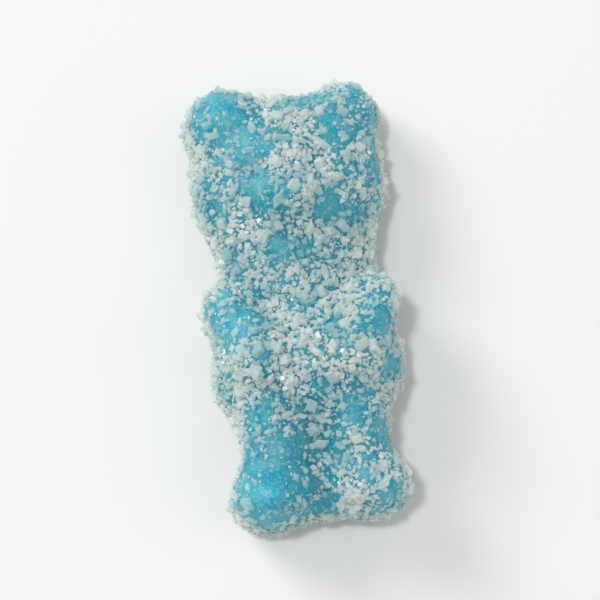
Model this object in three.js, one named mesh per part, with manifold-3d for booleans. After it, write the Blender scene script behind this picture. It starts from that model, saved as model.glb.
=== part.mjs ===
// Sour gummy candy: a little figure of fruit gel, cast with a flat back and rolled in coarse sugar.
// Millimetres. The figure lies on its back: +Z is out of its front, +Y runs towards the head, and
// the origin is on the back, under the middle of the figure.

import * as THREE from 'three';
import { mergeVertices } from 'three/addons/utils/BufferGeometryUtils.js';
import Module from 'manifold-3d';

const wasm = await Module();
wasm.setup();

// The whole figure, out to the mean level of its sugar
const LENGTH = 25.4;
const WIDTH = 11.0;
const THICKNESS = 7.7;

// The mould: walls upright up to WALL and leaning inwards by DRAFT, with a rounded rim at the back
const WALL = 0.38 * THICKNESS;
const DRAFT = 0.07;
const RIM_BLEND = 1.9;

// How far one form runs into the next, for the large forms and for the small ones on them
const BODY_BLEND = 2.0;
const DETAIL_BLEND = 1.0;
const EYE_BLEND = 0.5;

// The large grains of sugar that stand out of the coat
const GRAIN_COUNT = 235;
const GRAIN_LARGEST = 0.86;
const GRAIN_SMALLEST = 0.58;
const GRAIN_SPACING = 1.22;
const GRAIN_SHAPE = new THREE.Vector3(1, 0.84, 0.7);
const GRAIN_SINK = 0.12;
const GRAIN_LOWEST = 0.15;
const GRAIN_SEED = 20;

// The mesh of the figure: a capsule whose points move out to the surface
const SPINE_HALF = 0.32 * LENGTH;
const SPINE_HEIGHT = 0.36 * THICKNESS;
const MESH_ROUND = 40;
const MESH_CAP = 8;
const MESH_ROWS = 25;
const REACH = 12;
const HALVINGS = 40;
const FLAT_SNAP = 1e-4;

const COLOUR = '#84b0b6';
const ROUGHNESS = 0.8;

// Smooth minimum and maximum of two distances, over a band of the given width
function blendMin(a, b, band) {
  const share = Math.max(band - Math.abs(a - b), 0) / band;
  return Math.min(a, b) - (share * share * band) / 4;
}

function blendMax(a, b, band) {
  return -blendMin(-a, -b, band);
}

// A dome on an upright oval wall. x, wide and long are shares of the width, y of the length, and
// top of the thickness
function dome({ x = 0, y, wide, long, top }) {
  const centre = new THREE.Vector2(x * WIDTH, y * LENGTH);
  const radii = new THREE.Vector3(wide * WIDTH, long * WIDTH, top * THICKNESS - WALL);
  return (p) => {
    const dx = p.x - centre.x;
    const dy = p.y - centre.y;
    const rise = Math.max(p.z - WALL, 0);
    const scaled = Math.hypot(dx / radii.x, dy / radii.y, rise / radii.z);
    const slope = Math.hypot(dx / radii.x ** 2, dy / radii.y ** 2, rise / radii.z ** 2);
    const gap = slope > 0 ? (scaled * (scaled - 1)) / slope : -Math.min(radii.x, radii.y);
    return gap - DRAFT * Math.max(WALL - p.z, 0);
  };
}

// A rounded limb between two ends, each given as { x, y, top } in the same shares. Below the limb
// its wall drops straight to the back
function limb({ from, to, radius }) {
  const r = radius * WIDTH;
  const end = ({ x, y, top }) => new THREE.Vector3(x * WIDTH, y * LENGTH, top * THICKNESS - r);
  const start = end(from);
  const along = end(to).sub(start);
  const flatSquare = along.x ** 2 + along.y ** 2;
  return (p) => {
    const away = p.clone().sub(start);
    const flatShare = (away.x * along.x + away.y * along.y) / flatSquare;
    away.z = Math.max(away.z, THREE.MathUtils.clamp(flatShare, 0, 1) * along.z);
    const share = THREE.MathUtils.clamp(away.dot(along) / along.lengthSq(), 0, 1);
    const gap = away.addScaledVector(along, -share).length() - r;
    return gap - DRAFT * Math.max(WALL - p.z, 0);
  };
}

function ball({ x, y, height, radius }) {
  const centre = new THREE.Vector3(x * WIDTH, y * LENGTH, height * THICKNESS);
  return (p) => p.distanceTo(centre) - radius * WIDTH;
}

// The trunk runs from the head through the neck and the belly to the web between the legs
const TRUNK = [
  dome({ y: 0.262, wide: 0.5, long: 0.465, top: 0.86 }),
  dome({ y: 0.06, wide: 0.4, long: 0.3, top: 0.68 }),
  dome({ y: -0.15, wide: 0.49, long: 0.37, top: 0.94 }),
  dome({ y: -0.34, wide: 0.26, long: 0.32, top: 0.6 }),
];

// What stands on the trunk, left and right a little unlike each other, as on a cast piece
const DETAILS = [
  dome({ y: 0.215, wide: 0.19, long: 0.15, top: 0.98 }),
  dome({ x: -0.295, y: 0.405, wide: 0.21, long: 0.2, top: 0.76 }),
  dome({ x: 0.31, y: 0.4, wide: 0.195, long: 0.19, top: 0.72 }),
  limb({ from: { x: -0.365, y: -0.01, top: 0.82 }, to: { x: -0.235, y: -0.13, top: 1.0 }, radius: 0.135 }),
  limb({ from: { x: 0.365, y: -0.02, top: 0.82 }, to: { x: 0.245, y: -0.14, top: 1.0 }, radius: 0.135 }),
  limb({ from: { x: -0.2, y: -0.25, top: 0.82 }, to: { x: -0.215, y: -0.39, top: 0.75 }, radius: 0.165 }),
  limb({ from: { x: 0.2, y: -0.25, top: 0.82 }, to: { x: 0.22, y: -0.385, top: 0.75 }, radius: 0.165 }),
  dome({ x: -0.25, y: -0.42, wide: 0.21, long: 0.175, top: 0.9 }),
  dome({ x: 0.255, y: -0.414, wide: 0.205, long: 0.17, top: 0.88 }),
];

const EYES = [-1, 1].map((side) => ball({ x: side * 0.175, y: 0.3, height: 0.9, radius: 0.085 }));

// Where the coat is rubbed thin and no large grain lies: the ears and one foot
const BARE = [
  ball({ x: -0.32, y: 0.41, height: 0.65, radius: 0.16 }),
  ball({ x: 0.35, y: 0.4, height: 0.6, radius: 0.13 }),
  ball({ x: -0.24, y: -0.42, height: 0.8, radius: 0.19 }),
];

// Signed distance to the figure's surface, negative inside
function figure(p) {
  let gap = TRUNK.map((form) => form(p)).reduce((a, b) => blendMin(a, b, BODY_BLEND));
  for (const form of DETAILS) gap = blendMin(gap, form(p), DETAIL_BLEND);
  for (const eye of EYES) gap = blendMax(gap, -eye(p), EYE_BLEND);
  return blendMax(gap, -p.z, RIM_BLEND);
}

// Where a ray from the spine leaves the figure
function surfacePoint(start, direction) {
  let inside = 0;
  let outside = REACH;
  const p = new THREE.Vector3();
  for (let step = 0; step < HALVINGS; step += 1) {
    const middle = (inside + outside) / 2;
    p.copy(start).addScaledVector(direction, middle);
    if (figure(p) < 0) inside = middle;
    else outside = middle;
  }
  p.copy(start).addScaledVector(direction, inside);
  if (p.z < FLAT_SNAP) p.z = 0;
  return p;
}

function surfaceNormal(p) {
  const step = 0.02;
  const probe = (x, y, z) => figure(new THREE.Vector3(p.x + x, p.y + y, p.z + z));
  return new THREE.Vector3(
    probe(step, 0, 0) - probe(-step, 0, 0),
    probe(0, step, 0) - probe(0, -step, 0),
    probe(0, 0, step) - probe(0, 0, -step),
  ).normalize();
}

function spinePoint(y) {
  return new THREE.Vector3(0, THREE.MathUtils.clamp(y, -SPINE_HALF, SPINE_HALF), SPINE_HEIGHT);
}

function figureGeometry() {
  const shape = new THREE.CapsuleGeometry(1, 2 * SPINE_HALF, MESH_CAP, MESH_ROUND, MESH_ROWS);
  const points = shape.attributes.position;
  const p = new THREE.Vector3();
  for (let i = 0; i < points.count; i += 1) {
    p.fromBufferAttribute(points, i);
    const start = spinePoint(p.y);
    const direction = new THREE.Vector3(p.x, p.y - start.y, p.z).normalize();
    const onSurface = surfacePoint(start, direction);
    points.setXYZ(i, onSurface.x, onSurface.y, onSurface.z);
  }
  return shape;
}

// Random numbers from 0 to 1, the same ones each time, by a linear congruence
function seeded(seed) {
  const factor = 1664525;
  const offset = 1013904223;
  const range = 2 ** 32;
  let state = seed;
  return () => {
    state = (state * factor + offset) % range;
    return state / range;
  };
}

// Places for the grains: random rays, kept where they are far enough from the grains before
function grainPlaces(random) {
  const places = [];
  while (places.length < GRAIN_COUNT) {
    const y = (random() - 0.5) * LENGTH;
    const start = spinePoint(y);
    const turn = 2 * Math.PI * random();
    const direction = new THREE.Vector3(Math.cos(turn), y - start.y, Math.sin(turn)).normalize();
    const place = surfacePoint(start, direction);
    if (place.z < GRAIN_LARGEST / 2 || BARE.some((patch) => patch(place) < 0)) continue;
    if (places.every((other) => other.distanceTo(place) > GRAIN_SPACING)) places.push(place);
  }
  return places;
}

// Grains of sugar, the largest first, each turned at random and sunk a little into the surface
function grainGeometries() {
  const random = seeded(GRAIN_SEED);
  const places = grainPlaces(random);
  const grains = [];
  places.forEach((place, i) => {
    const size = THREE.MathUtils.lerp(GRAIN_LARGEST, GRAIN_SMALLEST, i / GRAIN_COUNT);
    const sides = GRAIN_SHAPE.clone().multiplyScalar(size);
    const turn = new THREE.Euler(...[0, 1, 2].map(() => 2 * Math.PI * random()));
    const centre = place.clone().addScaledVector(surfaceNormal(place), -GRAIN_SINK * size);
    const grain = new THREE.BoxGeometry(sides.x, sides.y, sides.z);
    grain.applyMatrix4(new THREE.Matrix4().makeRotationFromEuler(turn).setPosition(centre));
    grain.computeBoundingBox();
    if (grain.boundingBox.min.z > GRAIN_LOWEST) grains.push(grain);
  });
  return grains;
}

function toSolid(geometry) {
  const bare = geometry.clone();
  bare.deleteAttribute('normal');
  bare.deleteAttribute('uv');
  const merged = mergeVertices(bare);
  return new wasm.Manifold(
    new wasm.Mesh({
      numProp: 3,
      vertProperties: new Float32Array(merged.attributes.position.array),
      triVerts: new Uint32Array(merged.index.array),
    }),
  );
}

function toGeometry(solid) {
  const mesh = solid.getMesh();
  const geometry = new THREE.BufferGeometry();
  geometry.setAttribute('position', new THREE.BufferAttribute(mesh.vertProperties, 3));
  geometry.setIndex(new THREE.BufferAttribute(mesh.triVerts, 1));
  geometry.computeVertexNormals();
  return geometry;
}

function sugaredFigure() {
  let solid = toSolid(figureGeometry());
  for (const grain of grainGeometries()) solid = solid.add(toSolid(grain));
  const material = new THREE.MeshStandardMaterial({ color: COLOUR, roughness: ROUGHNESS, metalness: 0 });
  const mesh = new THREE.Mesh(toGeometry(solid), material);
  mesh.name = 'gummy_figure';
  return mesh;
}

const candy = new THREE.Group();
candy.add(sugaredFigure());

export default candy;
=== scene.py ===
# %% [markdown]
# A sour gummy candy, dressed for a close look. The real thing is a soft figure of fruit gel, cast
# in starch with a flat back, made sticky with steam and then tumbled in sour sugar. So there are
# two things to make: the gel, and a coat of many thousands of crystals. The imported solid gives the
# size and the place, and everything below is built around it in the same frame.

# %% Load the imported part
import math

import bmesh
import bpy
import numpy as np
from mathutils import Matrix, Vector, kdtree, noise


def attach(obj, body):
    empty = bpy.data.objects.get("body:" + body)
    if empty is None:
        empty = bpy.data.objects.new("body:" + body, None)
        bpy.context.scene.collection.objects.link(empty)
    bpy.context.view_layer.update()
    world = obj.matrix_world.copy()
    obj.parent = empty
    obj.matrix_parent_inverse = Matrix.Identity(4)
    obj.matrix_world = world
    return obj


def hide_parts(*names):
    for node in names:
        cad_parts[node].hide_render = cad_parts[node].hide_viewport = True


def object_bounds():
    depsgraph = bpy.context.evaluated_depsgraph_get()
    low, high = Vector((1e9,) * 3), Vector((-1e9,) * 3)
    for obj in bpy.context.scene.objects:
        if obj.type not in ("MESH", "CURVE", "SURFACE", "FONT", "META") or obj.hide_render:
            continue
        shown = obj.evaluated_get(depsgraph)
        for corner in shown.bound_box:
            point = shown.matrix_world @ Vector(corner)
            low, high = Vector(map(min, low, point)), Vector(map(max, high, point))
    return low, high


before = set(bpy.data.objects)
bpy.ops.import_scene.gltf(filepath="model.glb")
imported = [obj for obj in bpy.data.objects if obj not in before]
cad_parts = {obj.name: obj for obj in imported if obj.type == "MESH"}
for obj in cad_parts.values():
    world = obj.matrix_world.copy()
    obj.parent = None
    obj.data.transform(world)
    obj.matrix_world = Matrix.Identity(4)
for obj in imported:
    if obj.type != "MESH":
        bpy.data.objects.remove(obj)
cad_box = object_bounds()
print("the packed part's box, in metres:", [list(corner) for corner in cad_box])

# %% [markdown]
# Blender counts in metres here, and a candy is better described in millimetres, so the sizes are
# written in millimetres and brought to metres when a mesh is made. The three outer sizes reach to
# the mean level of the sugar. The mould's walls stand up to a certain height and lean inwards by a
# small draft, because the mould had to let the candy go, and its rim at the back is rounded.

# %% The sizes of the figure, in millimetres
MM = 0.001
LENGTH = 25.4
WIDTH = 11.0
THICKNESS = 7.7
WALL = 0.38 * THICKNESS
DRAFT = 0.07
RIM_BLEND = 1.9
BODY_BLEND = 2.0
DETAIL_BLEND = 1.0
EYE_BLEND = 0.5
print("figure:", LENGTH, "by", WIDTH, "by", THICKNESS, "mm, with walls", round(WALL, 2), "mm high")

# %% [markdown]
# The figure itself is a rule and not a list of points. Each form, such as the head or an arm, is a
# dome or a limb that says how far any point is from its surface, and neighbouring forms are
# blended where they meet, the way warm gel rounds off every inner corner of its mould. It could be
# sculpted by hand from joined spheres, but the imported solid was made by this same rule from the
# same sizes, so under the sugar the two agree.

# %% Rules that measure a form and blend two of them
TINY = 1e-9


def blend_min(a, b, band):
    """The smaller of two distances, rounded off over a band of that width."""
    share = np.maximum(band - np.abs(a - b), 0) / band
    return np.minimum(a, b) - share * share * band / 4


def blend_max(a, b, band):
    """The larger of two distances, rounded off in the same way."""
    return -blend_min(-a, -b, band)


def dome(p, y, wide, long, top, x=0.0):
    """Distance from a dome on an upright oval wall, in shares of the figure's own sizes."""
    radii = np.array([wide * WIDTH, long * WIDTH, top * THICKNESS - WALL])
    away = np.stack([p[:, 0] - x * WIDTH, p[:, 1] - y * LENGTH, np.maximum(p[:, 2] - WALL, 0)], 1)
    scaled = np.linalg.norm(away / radii, axis=1)
    slope = np.linalg.norm(away / radii**2, axis=1) + TINY
    return scaled * (scaled - 1) / slope - DRAFT * np.maximum(WALL - p[:, 2], 0)


def limb(p, start, end, radius):
    """Distance from a rounded limb between two ends, with a wall from it down to the back."""
    r = radius * WIDTH
    ends = [np.array([x * WIDTH, y * LENGTH, top * THICKNESS - r]) for x, y, top in (start, end)]
    along = ends[1] - ends[0]
    away = p - ends[0]
    flat_share = np.clip(away[:, :2] @ along[:2] / (along[:2] @ along[:2]), 0, 1)
    away[:, 2] = np.maximum(away[:, 2], flat_share * along[2])
    share = np.clip(away @ along / (along @ along), 0, 1)
    gap = np.linalg.norm(away - share[:, None] * along, axis=1) - r
    return gap - DRAFT * np.maximum(WALL - p[:, 2], 0)


def ball(p, x, y, height, radius):
    """Distance from a ball, in the same shares."""
    centre = [x * WIDTH, y * LENGTH, height * THICKNESS]
    return np.linalg.norm(p - centre, axis=1) - radius * WIDTH


# %% [markdown]
# Now the forms themselves. The trunk runs from the head through the neck and the belly to the web
# between the legs. On it stand the muzzle, two ears, two feet, two arms and two legs, left and
# right a little unlike each other, as on a cast piece, and two small hollows make the eyes. Places
# and sizes are shares of the whole figure's, so it keeps its proportions if one of those changes.

# %% The forms of the figure: trunk first, then what stands on it
TRUNK = [
    dict(y=0.262, wide=0.5, long=0.465, top=0.86),
    dict(y=0.06, wide=0.4, long=0.3, top=0.68),
    dict(y=-0.15, wide=0.49, long=0.37, top=0.94),
    dict(y=-0.34, wide=0.26, long=0.32, top=0.6),
]
KNOBS = [
    dict(y=0.215, wide=0.19, long=0.15, top=0.98),
    dict(x=-0.295, y=0.405, wide=0.21, long=0.2, top=0.76),
    dict(x=0.31, y=0.4, wide=0.195, long=0.19, top=0.72),
    dict(x=-0.25, y=-0.42, wide=0.21, long=0.175, top=0.9),
    dict(x=0.255, y=-0.414, wide=0.205, long=0.17, top=0.88),
]
LIMBS = [
    dict(start=(-0.365, -0.01, 0.82), end=(-0.235, -0.13, 1.0), radius=0.135),
    dict(start=(0.365, -0.02, 0.82), end=(0.245, -0.14, 1.0), radius=0.135),
    dict(start=(-0.2, -0.25, 0.82), end=(-0.215, -0.39, 0.75), radius=0.165),
    dict(start=(0.2, -0.25, 0.82), end=(0.22, -0.385, 0.75), radius=0.165),
]
EYES = [dict(x=side * 0.175, y=0.3, height=0.9, radius=0.085) for side in (-1, 1)]


def figure(p):
    """Distance of each point from the figure's surface, negative inside."""
    gap = dome(p, **TRUNK[0])
    for form in TRUNK[1:]:
        gap = blend_min(gap, dome(p, **form), BODY_BLEND)
    for form in KNOBS:
        gap = blend_min(gap, dome(p, **form), DETAIL_BLEND)
    for form in LIMBS:
        gap = blend_min(gap, limb(p, **form), DETAIL_BLEND)
    for eye in EYES:
        gap = blend_max(gap, -ball(p, **eye), EYE_BLEND)
    return blend_max(gap, -p[:, 2], RIM_BLEND)


def outward(p, step=0.02):
    """The direction straight out of the surface at each point."""
    slopes = [figure(p + step * axis) - figure(p - step * axis) for axis in np.eye(3)]
    normals = np.stack(slopes, 1)
    return normals / np.linalg.norm(normals, axis=1, keepdims=True)


core = np.array([[0, 0, THICKNESS / 2]])
print("by the rule, the middle of the candy lies", round(-figure(core)[0], 2), "mm under its surface")

# %% [markdown]
# The gel is one closed skin. An icosphere has no poles and faces of one size, so it makes an even
# skin when each of its points slides out along a ray, from a spine inside the candy to the
# surface of the rule. Voxel remeshing of joined spheres would do it too, but it leaves stair
# steps in the clear spots, where the light shows every one. Where a ray meets the surface is found
# by halving the stretch that it must lie in, again and again.

# %% Where a ray from the spine meets the surface
SPINE_HALF = 0.32 * LENGTH
SPINE_HEIGHT = 0.36 * THICKNESS
REACH = 12.0
HALVINGS = 26


def slide_out(directions, depth):
    """Points under the surface by that depth, along rays from the spine."""
    start = np.zeros_like(directions)
    start[:, 1] = SPINE_HALF * directions[:, 1]
    start[:, 2] = SPINE_HEIGHT
    inside = np.zeros(len(directions))
    outside = np.full(len(directions), REACH)
    for _ in range(HALVINGS):
        middle = (inside + outside) / 2
        within = figure(start + middle[:, None] * directions) < -depth
        inside = np.where(within, middle, inside)
        outside = np.where(within, outside, middle)
    return start + inside[:, None] * directions


crown = slide_out(np.array([[0.0, 1.0, 0.0]]), 0)
print("the crown of the head is", round(crown[0, 1], 2), "mm from the middle")

# %% [markdown]
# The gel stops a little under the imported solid, which was measured out to the sugar, and it gets
# soft dents from handling. A bmesh is only a working shape that the scene doesn't see. It is made
# into a mesh, in metres, and linked to the scene as an object that stays at the origin, unturned
# and unscaled, so that no pattern on it can slide.

# %% The gel
COAT = 0.22
DENT_WIDTH = 1.5
DENT_DEPTH = 0.06


def lumps(p, width, seed):
    """Smooth noise from -1 to 1 at each point, with lumps of that width."""
    shift = Vector((seed, 0, 0))
    return np.array([noise.noise(Vector(point) / width + shift) for point in p])


def gel_skin():
    """The bmesh of the gel, in millimetres."""
    skin = bmesh.new()
    bmesh.ops.create_icosphere(skin, subdivisions=7, radius=1.0)
    directions = np.array([v.co for v in skin.verts])
    places = slide_out(directions, COAT)
    dents = DENT_DEPTH * lumps(places, DENT_WIDTH, seed=3)
    places += dents[:, None] * outward(places)
    places[:, 2] = np.maximum(places[:, 2], COAT)
    for vert, place in zip(skin.verts, places):
        vert.co = place
    bmesh.ops.smooth_vert(skin, verts=skin.verts, factor=0.5,
                          use_axis_x=True, use_axis_y=True, use_axis_z=True)
    bmesh.ops.recalc_face_normals(skin, faces=skin.faces)
    return skin


def add_object(name, data):
    """Puts a mesh, a camera or a lamp into the scene as an object."""
    made = bpy.data.objects.new(name, data)
    bpy.context.scene.collection.objects.link(made)
    return made


def to_object(name, shape):
    """Makes an object of a bmesh, brought from millimetres to metres."""
    bmesh.ops.scale(shape, vec=(MM, MM, MM), verts=shape.verts)
    mesh = bpy.data.meshes.new(name)
    shape.to_mesh(mesh)
    shape.free()
    return add_object(name, mesh)


gel = to_object("gel", gel_skin())
gel.data.shade_smooth()
print("gel:", len(gel.data.polygons), "faces,", [round(side / MM, 2) for side in gel.dimensions], "mm")

# %% [markdown]
# Sugar is not spread evenly. Tumbling packs it into the grooves, and the walls that look sideways
# keep more of it than the front. It wears off, or melts into the gel, on whatever stands out: here
# both ears, the outer sides of the arms and one foot, and the front of the legs is thinly covered
# too. Everywhere else it has caught in clumps a millimetre or two wide, where the gel was stickier.
# The thin places could be painted by hand, but a rule gives the share that sugar covers at any
# place, from things that the eye can check on the real candy: how hollow the place is, how far it
# looks sideways, and how near it is to a rubbed spot.

# %% How much sugar lies at a place
BASE_SHARE = 0.55
HOLLOW_PROBE = 0.9
HOLLOW_LEAST = -0.1
HOLLOW_MOST = 0.35
SIDE_EXTRA = 0.45
PATCH_WIDTH = 2.2
PATCH_EXTRA = 0.2
CLUMP_WIDTH = 1.7
CLUMP_EXTRA = 1.0
LEG_TOP = -0.2 * LENGTH
LEG_FADE = 3.0
LEG_SHARE = 0.45
BARE = [
    dict(x=-0.3, y=0.42, height=0.65, radius=0.13),
    dict(x=0.4, y=0.37, height=0.55, radius=0.08),
    dict(x=-0.22, y=-0.41, height=0.8, radius=0.17),
    dict(x=-0.4, y=-0.05, height=0.75, radius=0.06),
    dict(x=0.42, y=-0.09, height=0.7, radius=0.04),
]
BARE_SHARE = 0.2
BARE_EDGE = 2.3
FRAY_WIDTH = 1.0
FRAY_DEPTH = 1.1


def clumps(places):
    """Where sugar has caught in small clumps, from -1 to 1."""
    return lumps(places, CLUMP_WIDTH, seed=15)


def sideways(normals):
    """How far the surface looks sideways: 0 on the front and the back, 1 on an upright wall."""
    return 1 - np.abs(normals[:, 2])


def coat_share(places, normals):
    """The share of the surface that sugar covers, from 0 to 1."""
    hollow = HOLLOW_PROBE - figure(places + HOLLOW_PROBE * normals)
    share = BASE_SHARE + np.clip(hollow, HOLLOW_LEAST, HOLLOW_MOST)
    share += PATCH_EXTRA * lumps(places, PATCH_WIDTH, seed=11)
    down_the_legs = np.clip((LEG_TOP - places[:, 1]) / LEG_FADE, 0, 1) * (normals[:, 2] > 0)
    share *= 1 - (1 - LEG_SHARE) * down_the_legs
    share += SIDE_EXTRA * sideways(normals)**2 + CLUMP_EXTRA * clumps(places)
    fray = FRAY_DEPTH * lumps(places, FRAY_WIDTH, seed=12)
    for spot in BARE:
        nearness = np.clip(1 - (ball(places, **spot) + fray) / BARE_EDGE, 0, 1)
        share *= 1 - (1 - BARE_SHARE) * nearness * nearness * (3 - 2 * nearness)
    return np.clip(share, 0, 1)


sample = np.array([v.co for v in gel.data.vertices][::100]) / MM
print("sugar covers about", round(100 * coat_share(sample, outward(sample)).mean()), "% of the gel")

# %% [markdown]
# A particle system could scatter the crystals, but it would be gone when the candy leaves Blender,
# so every crystal gets a spot of its own here. The spots have to be random by area: a face is drawn
# by its area first, and a spot inside it after that. The more sugar covers a place, the likelier
# its spots are kept. All but the dust also keep a distance, because two crystals can't lie in one
# place. Every draw is seeded, so the candy is the same one each time the script runs.

# %% Draw the spots for the crystals
SPOTS_PER_CRYSTAL = 6

gel_faces = gel.data.polygons
gel_corners = np.array([[gel.data.vertices[i].co / MM for i in face.vertices] for face in gel_faces])
gel_areas = np.array([face.area for face in gel_faces])
gel_areas /= gel_areas.sum()
print("spots are drawn on", len(gel_corners), "faces of the gel")


def random_spots(count, rng):
    """Spots on the gel's skin, as likely everywhere on it."""
    corners = gel_corners[rng.choice(len(gel_corners), count, p=gel_areas)]
    a, b = rng.random((2, count, 1))
    folded = a + b > 1
    a, b = np.where(folded, 1 - a, a), np.where(folded, 1 - b, b)
    return corners[:, 0] + a * (corners[:, 1] - corners[:, 0]) + b * (corners[:, 2] - corners[:, 0])


def keep_apart(places, distance):
    """Which places to keep, in their order, so that no two are nearer than that."""
    tree = kdtree.KDTree(len(places))
    for i, place in enumerate(places):
        tree.insert(place, i)
    tree.balance()
    kept = np.ones(len(places), bool)
    for i, place in enumerate(places):
        if kept[i]:
            near = [j for _, j, _ in tree.find_range(place, distance) if j > i]
            kept[near] = False
    return kept


def sugar_spots(count, spacing, spread, rng):
    """Spots for that many crystals with their outward directions, with that least cover anywhere."""
    places = random_spots(SPOTS_PER_CRYSTAL * count, rng)
    normals = outward(places)
    kept = rng.random(len(places)) < np.maximum(coat_share(places, normals), spread)
    places, normals = places[kept], normals[kept]
    if spacing > 0:
        kept = keep_apart(places, spacing)
        places, normals = places[kept], normals[kept]
    return places[:count], normals[:count]


# %% [markdown]
# A sugar crystal is a block with unequal sides and cut corners. Two kinds are modelled with bmesh
# operators. The one for the larger grains has bevelled edges that catch the light, and the one for
# the small grains is a plain block, because nobody sees an edge that is thinner than a pixel. Each
# face also gets its place in a small sheet of six fields, one for each side of the block, so that
# the block can be laid out flat without any two sides lying on each other. The flat map gets a
# name of its own, OFBake.

# %% Model one crystal of each kind
CRYSTAL_SIDES = (1.0, 0.86, 0.72)
CUT = 0.13
FIELDS_ACROSS = 3
FIELDS_UP = 2
FIELD_MARGIN = 0.08
FLAT_MAP = "OFBake"


def field_place(face, corner):
    """Where a face's corner lies on the sheet of fields, from 0 to 1."""
    axis = max(range(3), key=lambda i: abs(face.normal[i]))
    row = 0 if face.normal[axis] > 0 else 1
    across, up = [corner.vert.co[i] + 0.5 for i in range(3) if i != axis]
    inner = 1 - 2 * FIELD_MARGIN
    return ((axis + FIELD_MARGIN + inner * across) / FIELDS_ACROSS,
            (row + FIELD_MARGIN + inner * up) / FIELDS_UP)


def crystal(bevelled):
    """Corners, faces and each face corner's place on the sheet, of a crystal a millimetre long."""
    block = bmesh.new()
    bmesh.ops.create_cube(block, size=1.0)
    bmesh.ops.scale(block, vec=CRYSTAL_SIDES, verts=block.verts)
    if bevelled:
        bmesh.ops.bevel(block, geom=block.edges[:], offset=CUT, offset_type="OFFSET", affect="EDGES",
                        segments=1, profile=0.5, material=-1)
    bmesh.ops.recalc_face_normals(block, faces=block.faces)
    block.verts.index_update()
    corners = np.array([v.co for v in block.verts])
    faces = [[v.index for v in face.verts] for face in block.faces]
    sheet = np.array([field_place(face, corner) for face in block.faces for corner in face.loops])
    block.free()
    return corners, faces, sheet


for bevelled in (True, False):
    corners, faces, _ = crystal(bevelled)
    print("bevelled" if bevelled else "plain", "crystal:", len(corners), "corners,", len(faces), "faces")

# %% [markdown]
# A heap of one and the same block would look like gravel from a machine. So each crystal is
# stretched, slanted into the lopsided block that sugar grows in, and turned. It lands on a flat
# side, leans a little and sinks into the sticky gel, and nothing reaches below the surface that the
# candy lies on. Copying a bmesh thousands of times is slow, so this is done with arrays: every
# crystal is the same few corners, and one sum over the whole array places them all.

# %% Stretch, turn and lay down all the crystals of a kind
LEAN = 0.5
SLANT = 0.22
STRETCH_LEAST = 0.8
STRETCH_MOST = 1.15
FLOOR_GAP = 0.01


def turned_axes(normals, rng):
    """Three axes for each crystal: a random spin round its outward direction, leaned at random."""
    tilt = normals + LEAN * rng.normal(size=normals.shape)
    up = tilt / np.linalg.norm(tilt, axis=1, keepdims=True)
    side = np.cross(up, rng.normal(size=normals.shape))
    side /= np.linalg.norm(side, axis=1, keepdims=True)
    return np.stack([side, np.cross(up, side), up], 2)


def crystal_shapes(corners, size, rng):
    """The corners of each crystal round its own middle, stretched and slanted at random."""
    count = len(size)
    stretch = rng.uniform(STRETCH_LEAST, STRETCH_MOST, (count, 1, 3)) * size[:, None, None]
    slant = np.eye(3) + SLANT * rng.normal(size=(count, 3, 3)) * (1 - np.eye(3))
    return np.einsum("nij,nkj->nki", slant, corners * stretch)


def lay_down(corners, places, normals, size, sink, rng):
    """The corners of each crystal on the gel, and how high each one stands in its crystal."""
    axes = turned_axes(normals, rng)
    shapes = np.einsum("nij,nkj->nki", axes, crystal_shapes(corners, size, rng))
    height = np.einsum("nki,ni->nk", shapes, normals) / size[:, None]
    lift = (0.5 - sink) * CRYSTAL_SIDES[2] * size
    shapes += (places + lift[:, None] * normals)[:, None]
    shapes[:, :, 2] += np.maximum(FLOOR_GAP - shapes[:, :, 2].min(1), 0)[:, None]
    return shapes, height


# %% [markdown]
# Some crystals are full of cracks and white, and others are clear and tinted by the gel behind
# them. One colour for each kind would hide that, so each corner carries a tone, which the material
# reads. It changes in clumps as well as from one crystal to the next, and every crystal is more
# tinted at its foot than at its tip, as light reaches it there through the gel. On the walls that
# look sideways the tone is raised too, a painted pale rim of light. All the crystals of a kind
# become one mesh, because one piece is far easier to handle than thousands.

# %% Lay the sugar on the gel
WHITE_BASE = 0.2
WHITE_BY_SHARE = 0.35
PAINTED_RIM_WHITE = 0.12
WHITE_BY_CLUSTER = 0.16
WHITE_BY_CLUMP = 0.42
CLUSTER_WIDTH = 2.6
OWN_WHITENESS = 0.4
FOOT_TINT = 0.35

KINDS = {
    "sugar_large": dict(count=320, sizes=(0.5, 0.68), sink=0.4, spacing=0.62, bevelled=True, seed=21),
    "sugar_medium": dict(count=3400, sizes=(0.24, 0.42), sink=0.35, spacing=0.18, bevelled=True, seed=22),
    "sugar_fine": dict(count=6500, sizes=(0.13, 0.24), sink=0.3, spacing=0.1, bevelled=False, seed=23),
    "sugar_dust": dict(count=10000, sizes=(0.06, 0.13), sink=0.2, spacing=0, bevelled=False, seed=24,
                       spread=0.3),
}


def whiteness(places, normals):
    """How white the sugar is at a place, from 0 to 1."""
    white = WHITE_BASE + WHITE_BY_SHARE * coat_share(places, normals)
    # painted pale rim: the sugar on walls that look sideways is painted whiter, standing in for light
    white += PAINTED_RIM_WHITE * sideways(normals)**2
    white += WHITE_BY_CLUSTER * lumps(places, CLUSTER_WIDTH, seed=13)
    return white + WHITE_BY_CLUMP * clumps(places)


def cells(count, sheet):
    """Lays a sheet for each crystal into its own cell of one square map."""
    across = math.ceil(math.sqrt(count))
    row, column = np.divmod(np.arange(count), across)
    return (np.stack([column, row], 1)[:, None] + sheet) / across


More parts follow.
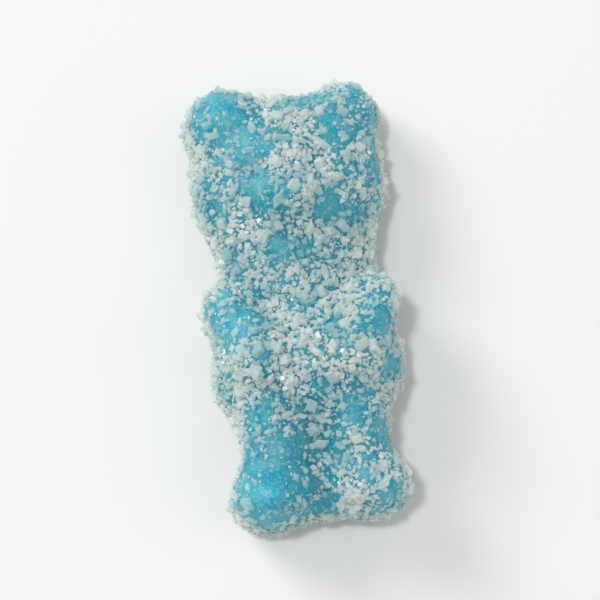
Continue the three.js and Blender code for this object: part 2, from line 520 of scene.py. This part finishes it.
def joined_mesh(name, shapes, faces, sheet, tones):
    """One mesh of all the crystals, with its flat map and a tone at each corner."""
    mesh = bpy.data.meshes.new(name)
    starts = np.arange(len(shapes)) * shapes.shape[1]
    all_faces = [[start + i for i in face] for start in starts for face in faces]
    mesh.from_pydata((shapes.reshape(-1, 3) * MM).tolist(), [], all_faces)
    flat_map = mesh.uv_layers.new(name=FLAT_MAP)
    flat_map.data.foreach_set("uv", cells(len(shapes), sheet).astype(np.float32).ravel())
    tone = mesh.attributes.new("tone", "FLOAT", "POINT")
    tone.data.foreach_set("value", tones.astype(np.float32).ravel())
    return mesh


def lay_crystals(name, count, sizes, sink, spacing, bevelled, seed, spread=0.0):
    """One piece with all the crystals of a kind.

    Sizes and spacing are in millimetres, and sink is the share of a crystal that lies in the gel.
    """
    rng = np.random.default_rng(seed)
    corners, faces, sheet = crystal(bevelled)
    places, normals = sugar_spots(count, spacing, spread, rng)
    size = rng.uniform(*sizes, len(places))
    shapes, height = lay_down(corners, places, normals, size, sink, rng)
    white = whiteness(places, normals) + OWN_WHITENESS * (rng.random(len(places)) - 0.5)
    mesh = joined_mesh(name, shapes, faces, sheet, white[:, None] + FOOT_TINT * height)
    triangles = sum(len(face) - 2 for face in faces) * len(places)
    print(name + ":", len(places), "crystals,", triangles, "triangles")
    return add_object(name, mesh)


sugar = [lay_crystals(name, **kind) for name, kind in KINDS.items()]

# %% [markdown]
# Colours are written as sRGB hex values, as a paint chart gives them, and shaders want linear
# light, so one function turns the first into the second. One more adds a shader node with all that
# it needs: a socket that is given another node's output is linked, and any other is set.

# %% Colours and nodes
def linear(hex_colour):
    """An sRGB hex colour as linear red, green, blue and alpha."""
    parts = [int(hex_colour[i:i + 2], 16) / 255 for i in (1, 3, 5)]
    return [c / 12.92 if c <= 0.04045 else ((c + 0.055) / 1.055) ** 2.4 for c in parts] + [1.0]


def add_node(tree, kind, sockets=(), **settings):
    """Adds a shader node with its settings, its sockets' values and its links."""
    made = tree.nodes.new("ShaderNode" + kind)
    for name, value in settings.items():
        setattr(made, name, value)
    for name, value in dict(sockets).items():
        if isinstance(value, bpy.types.NodeSocket):
            tree.links.new(value, made.inputs[name])
        else:
            made.inputs[name].default_value = value
    return made


def new_material(name):
    """An empty material, and the tree that its nodes go into."""
    material = bpy.data.materials.new(name)
    material.use_nodes = True
    material.node_tree.nodes.clear()
    return material, material.node_tree


print("a mid grey of #808080 in linear light:", round(linear("#808080")[0], 3))

# %% [markdown]
# The gel is starch and glucose syrup, coloured blue and set in a starch mould. It is clear enough
# for light to wander a millimetre or two inside it, which is why it looks lit from within and never
# has a hard shadow. Real refraction would show the same, far more slowly, and the sugar would hide
# the difference, so its shader scatters under the skin. Its surface is tacky and takes a soft
# shine. A film of dried sugar veils it in patches, and dust makes it duller where it lies.

# %% The gel's material
CLOUD_WIDTH = 2.5 * MM
FILM_WIDTH = 0.8 * MM
DUST_WIDTH = 0.16 * MM
DUST_RELIEF = 0.05 * MM
GEL_DEPTH = 2.5 * MM


def gel_material():
    """Blue fruit gel with a tacky skin and a dust of fine sugar."""
    material, tree = new_material("fruit gel")
    place = add_node(tree, "TexCoord").outputs["Object"]
    cloud = add_node(tree, "TexNoise", {"Vector": place, "Scale": 1 / CLOUD_WIDTH, "Detail": 3.0})
    body = add_node(tree, "ValToRGB", {"Fac": cloud.outputs["Fac"]})
    body.color_ramp.elements[0].position = 0.35
    body.color_ramp.elements[0].color = linear("#069fb8")
    body.color_ramp.elements[1].position = 0.7
    body.color_ramp.elements[1].color = linear("#22b4c8")
    film = add_node(tree, "TexNoise", {"Vector": place, "Scale": 1 / FILM_WIDTH, "Detail": 2.0})
    filmy = add_node(tree, "MapRange", {
        "Value": film.outputs["Fac"], "From Min": 0.4, "From Max": 0.7, "To Max": 0.32}).outputs["Result"]
    veiled = add_node(tree, "Mix", {
        0: filmy, 6: body.outputs["Color"], 7: linear("#9ad2da")}, data_type="RGBA").outputs[2]
    dust = add_node(tree, "TexNoise", {
        "Vector": place, "Scale": 1 / DUST_WIDTH, "Detail": 4.0, "Roughness": 0.7}).outputs["Fac"]
    dusty = add_node(tree, "MapRange", {
        "Value": dust, "From Min": 0.5, "From Max": 0.7, "To Max": 0.5}).outputs["Result"]
    colour = add_node(tree, "Mix", {
        0: dusty, 6: veiled, 7: linear("#c4dfe2")}, data_type="RGBA").outputs[2]
    rough = add_node(tree, "MapRange", {
        "Value": dust, "From Min": 0.4, "From Max": 0.7, "To Min": 0.3, "To Max": 0.6}).outputs["Result"]
    relief = add_node(tree, "Bump", {"Height": dust, "Strength": 0.5, "Distance": DUST_RELIEF})
    shader = add_node(tree, "BsdfPrincipled", {
        "Base Color": colour,
        "Roughness": rough,
        "Normal": relief.outputs["Normal"],
        "IOR": 1.45,
        "Subsurface Weight": 1.0,
        "Subsurface Radius": (0.5, 1.0, 1.1),
        "Subsurface Scale": GEL_DEPTH,
    })
    add_node(tree, "OutputMaterial", {"Surface": shader.outputs["BSDF"]})
    return material


gel.data.materials.append(gel_material())
print("gel material:", len(gel.active_material.node_tree.nodes), "nodes")

# %% [markdown]
# Sugar is sucrose with a little citric acid. A crystal is clear, but cracks and the many faces
# behind it throw the light back, so a heap of it looks white. A glass shader bends the light as
# sugar does, but crystals of this size came out dark grey with it, because each one hands the light
# on to the next. So a crystal is painted in its tone, from a pale tint of the gel to white, and a
# constant alpha lets part of the blue behind it through. The dust and the fine grains are a little
# less clear than the large ones. The faces are smooth and glint, and a fine grain on them, drawn
# coarser than it is so that it shows, spreads the glint.

# %% The sugar's material
GRAIN_WIDTH = 0.1 * MM
GRAIN_RELIEF = 0.02 * MM
SUGAR_DEPTH = 0.15 * MM
CLEARNESS = 0.45
FINE_CLEARNESS = 0.4


def sugar_material(name, clearness):
    """Sour sugar: white or lightly tinted crystals with glinting faces."""
    material, tree = new_material(name)
    place = add_node(tree, "TexCoord").outputs["Object"]
    tone = add_node(tree, "Attribute", attribute_name="tone").outputs["Fac"]
    tint = add_node(tree, "ValToRGB", {"Fac": tone})
    tint.color_ramp.elements[0].position = 0.1
    tint.color_ramp.elements[0].color = linear("#94d4da")
    tint.color_ramp.elements[1].position = 0.9
    tint.color_ramp.elements[1].color = linear("#f4fbf6")
    tint.color_ramp.elements.new(0.5).color = linear("#d4ebea")
    grain = add_node(tree, "TexNoise", {
        "Vector": place, "Scale": 1 / GRAIN_WIDTH, "Detail": 3.0}).outputs["Fac"]
    rough = add_node(tree, "MapRange", {
        "Value": grain, "From Min": 0.35, "From Max": 0.65, "To Min": 0.08, "To Max": 0.36})
    relief = add_node(tree, "Bump", {"Height": grain, "Strength": 0.25, "Distance": GRAIN_RELIEF})
    shader = add_node(tree, "BsdfPrincipled", {
        "Base Color": tint.outputs["Color"],
        "Roughness": rough.outputs["Result"],
        "Normal": relief.outputs["Normal"],
        "IOR": 1.56,
        "Alpha": 1 - clearness,
        "Subsurface Weight": 0.2,
        "Subsurface Radius": (1.0, 1.0, 1.0),
        "Subsurface Scale": SUGAR_DEPTH,
    })
    add_node(tree, "OutputMaterial", {"Surface": shader.outputs["BSDF"]})
    return material


clear_sugar = sugar_material("clear sour sugar", CLEARNESS)
fine_sugar = sugar_material("fine sour sugar", FINE_CLEARNESS)
for piece, material in zip(sugar, (clear_sugar, clear_sugar, fine_sugar, fine_sugar)):
    piece.data.materials.append(material)
    print(piece.name, "is", material.name)

# %% [markdown]
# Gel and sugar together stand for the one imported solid, and they ride on its one body.

# %% Tie the pieces to the frame
for piece in [gel, *sugar]:
    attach(piece, "root")
    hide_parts("gummy_figure")
print("pieces tied to the frame:", 1 + len(sugar))

# %% [markdown]
# The photograph was taken from nearly straight above, with the head leaning a little to the left,
# so the camera looks down steeply from beyond the feet. A long lens keeps the candy's sides
# nearly parallel.

# %% Camera
VIEW_TURN = math.radians(-6)
VIEW_HEIGHT = math.radians(80)
LENS = 150.0
SENSOR = 36.0
SEEN = 33.0 * MM
NEAREST = 5 * MM

middle = (cad_box[0] + cad_box[1]) / 2
away = Vector((math.sin(VIEW_TURN) * math.cos(VIEW_HEIGHT),
               -math.cos(VIEW_TURN) * math.cos(VIEW_HEIGHT),
               math.sin(VIEW_HEIGHT)))
camera = add_object("camera", bpy.data.cameras.new("camera"))
camera.data.lens = LENS
camera.data.sensor_width = SENSOR
camera.data.clip_start = NEAREST
camera.location = middle + away * (SEEN * LENS / SENSOR)
camera.rotation_euler = (-away).to_track_quat("-Z", "Y").to_euler()
bpy.context.scene.camera = camera
print("the camera is", round((camera.location - middle).length / MM), "mm away")

# %% [markdown]
# The light is a plain soft studio's, on a pale board that colours nothing. A broad lamp beyond the
# head, on the left, gives the candy its shape, and a broader, weaker one on the right softens the
# shadows. A small one high over the candy, near the camera's own line, looks into the gaps between
# the crystals and makes their faces glint. Even white light from all around does the rest.

# %% Floor and lamps
FLOOR_SIDE = 900.0
FLOOR_CLOUD = 60 * MM
ROOM_LIGHT = 0.43


def floor_material():
    """A smooth pale board."""
    material, tree = new_material("pale board")
    place = add_node(tree, "TexCoord").outputs["Object"]
    cloud = add_node(tree, "TexNoise", {"Vector": place, "Scale": 1 / FLOOR_CLOUD})
    shade = add_node(tree, "Mix", {
        0: cloud.outputs["Fac"], 6: linear("#f4f4f2"), 7: linear("#f8f8f7")}, data_type="RGBA")
    shader = add_node(tree, "BsdfPrincipled", {"Base Color": shade.outputs[2], "Roughness": 0.8})
    add_node(tree, "OutputMaterial", {"Surface": shader.outputs["BSDF"]})
    return material


def add_lamp(name, place, size, power):
    """A square lamp at a place in millimetres, turned to the candy."""
    lamp = add_object(name, bpy.data.lights.new(name, "AREA"))
    lamp.data.size = size * MM
    lamp.data.energy = power
    lamp.location = Vector(place) * MM
    lamp.rotation_euler = (middle - lamp.location).to_track_quat("-Z", "Y").to_euler()
    print(name, "lamp:", size, "mm wide,", round((middle - lamp.location).length / MM), "mm away")


board = bmesh.new()
bmesh.ops.create_grid(board, x_segments=1, y_segments=1, size=FLOOR_SIDE / 2)
floor = to_object("floor", board)
floor.data.materials.append(floor_material())

add_lamp("key", place=(-200, 200, 220), size=140, power=0.52)
add_lamp("fill", place=(220, -60, 200), size=260, power=0.12)
add_lamp("glint", place=(-80, 20, 410), size=40, power=0.5)

world = bpy.data.worlds.new("studio")
world.use_nodes = True
room = world.node_tree.nodes["Background"]
room.inputs["Color"].default_value = linear("#f6f8f8")
room.inputs["Strength"].default_value = ROOM_LIGHT
bpy.context.scene.world = world
bpy.context.scene.view_settings.view_transform = "Standard"
